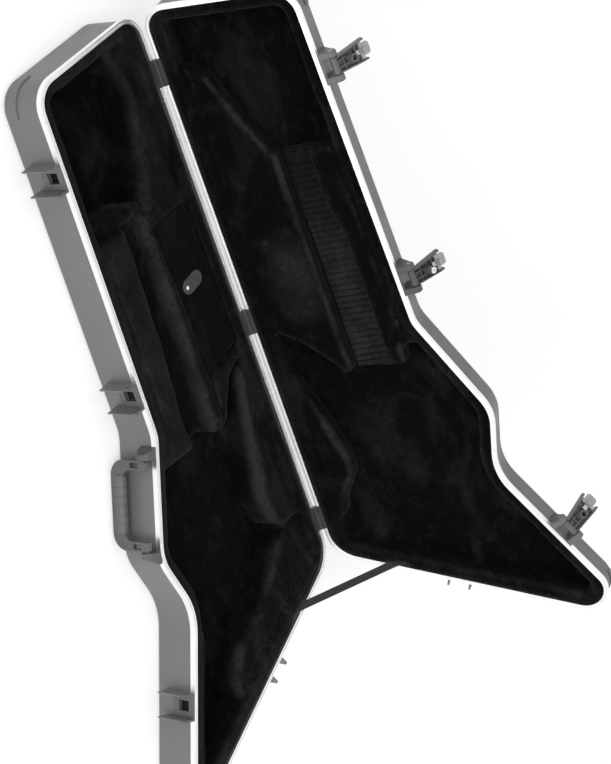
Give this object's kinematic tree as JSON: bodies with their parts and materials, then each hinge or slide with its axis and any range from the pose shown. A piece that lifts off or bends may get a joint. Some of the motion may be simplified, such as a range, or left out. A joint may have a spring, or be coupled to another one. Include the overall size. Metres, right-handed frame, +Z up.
{
  "type": "guitar case",
  "caption": "Hard moulded case for an offset-wing electric guitar, standing open: grey shells with metal rim rails, latches, hinges, carrying handle, stay strap and black padded interior.",
  "frame": {"origin": "on the underside of the base shell, on its flat resting face", "axes": "+Z up, +Y along the hinge line towards the head end, +X from the handle side to the hinge side"},
  "size_m": [0.7008, 1.2114, 0.5327],
  "materials": {
    "shell": "moulded grain, slightly glossy",
    "rail": "satin extrusion",
    "steel": "satin",
    "lock": "polished",
    "hinge": "satin dark grey",
    "latch_plastic": "satin",
    "paddle": "satin",
    "handle_plastic": "satin",
    "grip": "soft matt",
    "plush_foam": "short black pile over foam",
    "tab": "satin",
    "webbing": "flat woven"
  },
  "bodies": {
    "base": {"base_shell": "shell", "base_rail": "rail", "base_floor_pad": "plush_foam", "base_bolster_head": "plush_foam", "base_bolster_front": "plush_foam", "base_bolster_shoulder": "plush_foam", "base_bolster_wing": "plush_foam", "base_bolster_butt": "plush_foam", "base_bolster_spine": "plush_foam", "neck_bar_inner": "plush_foam", "neck_bar_outer": "plush_foam", "heel_pad": "plush_foam", "waist_ridge": "plush_foam", "butt_filler": "plush_foam", "wing_pad": "plush_foam", "neck_floor": "plush_foam", "catch_1": "latch_plastic", "catch_2": "latch_plastic", "catch_3": "latch_plastic", "handle_bracket_head": "handle_plastic", "handle_bracket_butt": "handle_plastic", "handle_pins": "steel", "hinge_1_base_leaf": "hinge", "hinge_2_base_leaf": "hinge", "hinge_3_base_leaf": "hinge", "hinge_pins": "steel", "base_hinge_rivets": "steel", "strap_rivet_base": "steel", "stay_strap": "webbing"},
    "lid": {"lid_shell": "shell", "lid_rail": "rail", "lid_floor_pad": "plush_foam", "lid_bolsters": "plush_foam", "lid_neck_pad": "plush_foam", "lid_front_pad": "plush_foam", "lid_waist_pad": "plush_foam", "lid_neck_strip": "plush_foam", "hinge_1_lid_leaf": "hinge", "hinge_2_lid_leaf": "hinge", "hinge_3_lid_leaf": "hinge", "lid_hinge_rivets": "steel", "latch_1_bracket": "latch_plastic", "latch_2_bracket": "latch_plastic", "latch_3_bracket": "latch_plastic", "latch_pins": "steel", "strap_rivet_lid": "steel"},
    "handle": {"handle_frame": "handle_plastic", "handle_grip": "grip"},
    "compartment_flap": {"compartment_lid": "plush_foam", "pull_tab": "tab"},
    "lock": {"lock_cylinder": "lock"},
    "lever_1": {"latch_1_lever": "latch_plastic", "latch_1_spring": "steel"},
    "trigger_1": {"latch_1_trigger": "paddle"},
    "lever_2": {"latch_2_lever": "latch_plastic", "latch_2_spring": "steel"},
    "trigger_2": {"latch_2_trigger": "paddle"},
    "lever_3": {"latch_3_lever": "latch_plastic", "latch_3_spring": "steel"},
    "trigger_3": {"latch_3_trigger": "paddle"}
  },
  "joints": [
    {"name": "lid_hinge", "type": "hinge", "parent": "base", "child": "lid", "pos_m": [0.15, 0, 0.088], "axis": [0, 1, 0], "range_deg": [-110, 0], "deforming": ["stay_strap"]},
    {"name": "compartment_hinge", "type": "hinge", "parent": "base", "child": "compartment_flap", "pos_m": [0.114, 0.173, 0.0743], "axis": [0, 1, 0], "range_deg": [0, 100]},
    {"name": "handle_swing", "type": "hinge", "parent": "base", "child": "handle", "pos_m": [-0.19689, -0.0912, 0.076], "axis": [0.4184, 0.9082, 0], "range_deg": [-5, 95]},
    {"name": "latch_1_turn", "type": "hinge", "parent": "lid", "child": "lever_1", "pos_m": [0.25693, 0.45801, 0.35256], "axis": [-0.0149, 0.9991, -0.0409], "range_deg": [-146, 0]},
    {"name": "trigger_1_press", "type": "hinge", "parent": "lever_1", "child": "trigger_1", "pos_m": [0.30864, 0.45942, 0.36831], "axis": [-0.0149, 0.9991, -0.0409], "range_deg": [0, 15], "stiffness_Nm_per_rad": 0.1, "springref_deg": -17.19, "deforming": ["latch_1_spring"]},
    {"name": "latch_2_turn", "type": "hinge", "parent": "lid", "child": "lever_2", "pos_m": [0.26257, 0.07936, 0.36806], "axis": [-0.0149, 0.9991, -0.0409], "range_deg": [-146, 0]},
    {"name": "trigger_2_press", "type": "hinge", "parent": "lever_2", "child": "trigger_2", "pos_m": [0.31428, 0.08078, 0.38381], "axis": [-0.0149, 0.9991, -0.0409], "range_deg": [0, 15], "stiffness_Nm_per_rad": 0.1, "springref_deg": -17.19, "deforming": ["latch_2_spring"]},
    {"name": "latch_3_turn", "type": "hinge", "parent": "lid", "child": "lever_3", "pos_m": [0.3085, -0.43105, 0.49423], "axis": [-0.162, 0.8806, -0.4452], "range_deg": [-146, 0]},
    {"name": "trigger_3_press", "type": "hinge", "parent": "lever_3", "child": "trigger_3", "pos_m": [0.35889, -0.41564, 0.50637], "axis": [-0.162, 0.8806, -0.4452], "range_deg": [0, 15], "stiffness_Nm_per_rad": 0.1, "springref_deg": -17.19, "deforming": ["latch_3_spring"]},
    {"name": "lock_turn", "type": "hinge", "parent": "lever_2", "child": "lock", "pos_m": [0.29143, 0.07988, 0.37009], "axis": [0.2422, -0.0361, -0.9696], "range_deg": [0, 90]}
  ]
}
